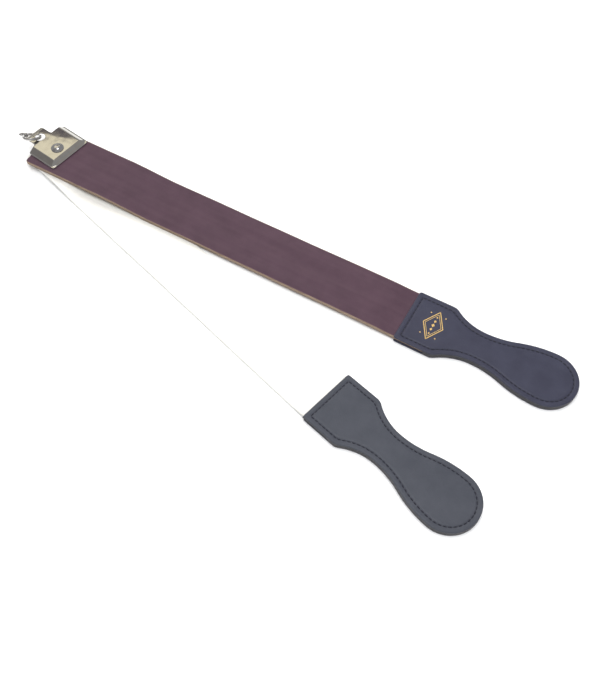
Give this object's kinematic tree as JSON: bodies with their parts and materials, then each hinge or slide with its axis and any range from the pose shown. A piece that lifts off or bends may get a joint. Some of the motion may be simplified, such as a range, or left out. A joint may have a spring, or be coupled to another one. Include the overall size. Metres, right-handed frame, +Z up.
{
  "type": "hanging razor strop",
  "caption": "Hanging razor strop: a leather strap and a canvas strap with stitched paddle handles, fanned from a riveted plated clamp that hangs by a ring and swivel eye.",
  "frame": {"origin": "middle of the whole footprint, on the surface the strop lies on", "axes": "+X along the leather strap from the clamp to its handle, +Z up off the surface, +Y away from the canvas strap"},
  "size_m": [0.5634, 0.1874, 0.0182],
  "materials": {
    "nickel": "polished nickel plate",
    "rivet_nickel": "polished nickel plate",
    "ring_nickel": "worn nickel plate",
    "steel": "turned steel",
    "strop_leather": "smooth purple-brown leather with tan cut edges",
    "canvas": "white woven linen",
    "handle_leather": "glazed black leather with a raised border",
    "core_leather": "raw filler leather",
    "thread": "waxed black thread"
  },
  "bodies": {
    "clamp": {"clamp_front_plate": "nickel", "clamp_back_plate": "nickel", "rivet": "rivet_nickel", "rivet_burr": "rivet_nickel", "spacer_bush": "steel"},
    "leather_strop": {"leather_strap": "strop_leather", "leather_handle_bottom_cover": "handle_leather", "leather_handle_core": "core_leather", "leather_handle_top_cover": "handle_leather", "leather_handle_top_thread": "thread", "leather_handle_bobbin_thread": "thread"},
    "canvas_strop": {"canvas_strap": "canvas", "canvas_handle_bottom_cover": "handle_leather", "canvas_handle_core": "core_leather", "canvas_handle_top_cover": "handle_leather", "canvas_handle_top_thread": "thread", "canvas_handle_bobbin_thread": "thread"},
    "ring": {"hanging_ring": "ring_nickel"},
    "swivel": {"swivel_eye": "ring_nickel"}
  },
  "joints": [
    {"name": "leather_fan", "type": "hinge", "parent": "clamp", "child": "leather_strop", "pos_m": [-0.23525, 0.06407, 0.007], "axis": [0, 0, 1], "range_deg": [-3, 25]},
    {"name": "canvas_fan", "type": "hinge", "parent": "clamp", "child": "canvas_strop", "pos_m": [-0.23525, 0.06407, 0.004], "axis": [0, 0, 1], "range_deg": [-25, 3]},
    {"name": "ring_flip", "type": "hinge", "parent": "clamp", "child": "ring", "pos_m": [-0.26601, 0.06396, 0.0133], "axis": [-0.8999, -0.436, 0], "range_deg": [0, 100]},
    {"name": "eye_swivel", "type": "hinge", "parent": "ring", "child": "swivel", "pos_m": [-0.27384, 0.06364, 0.01171], "axis": [-0.9792, -0.0404, -0.199], "continuous": true}
  ]
}
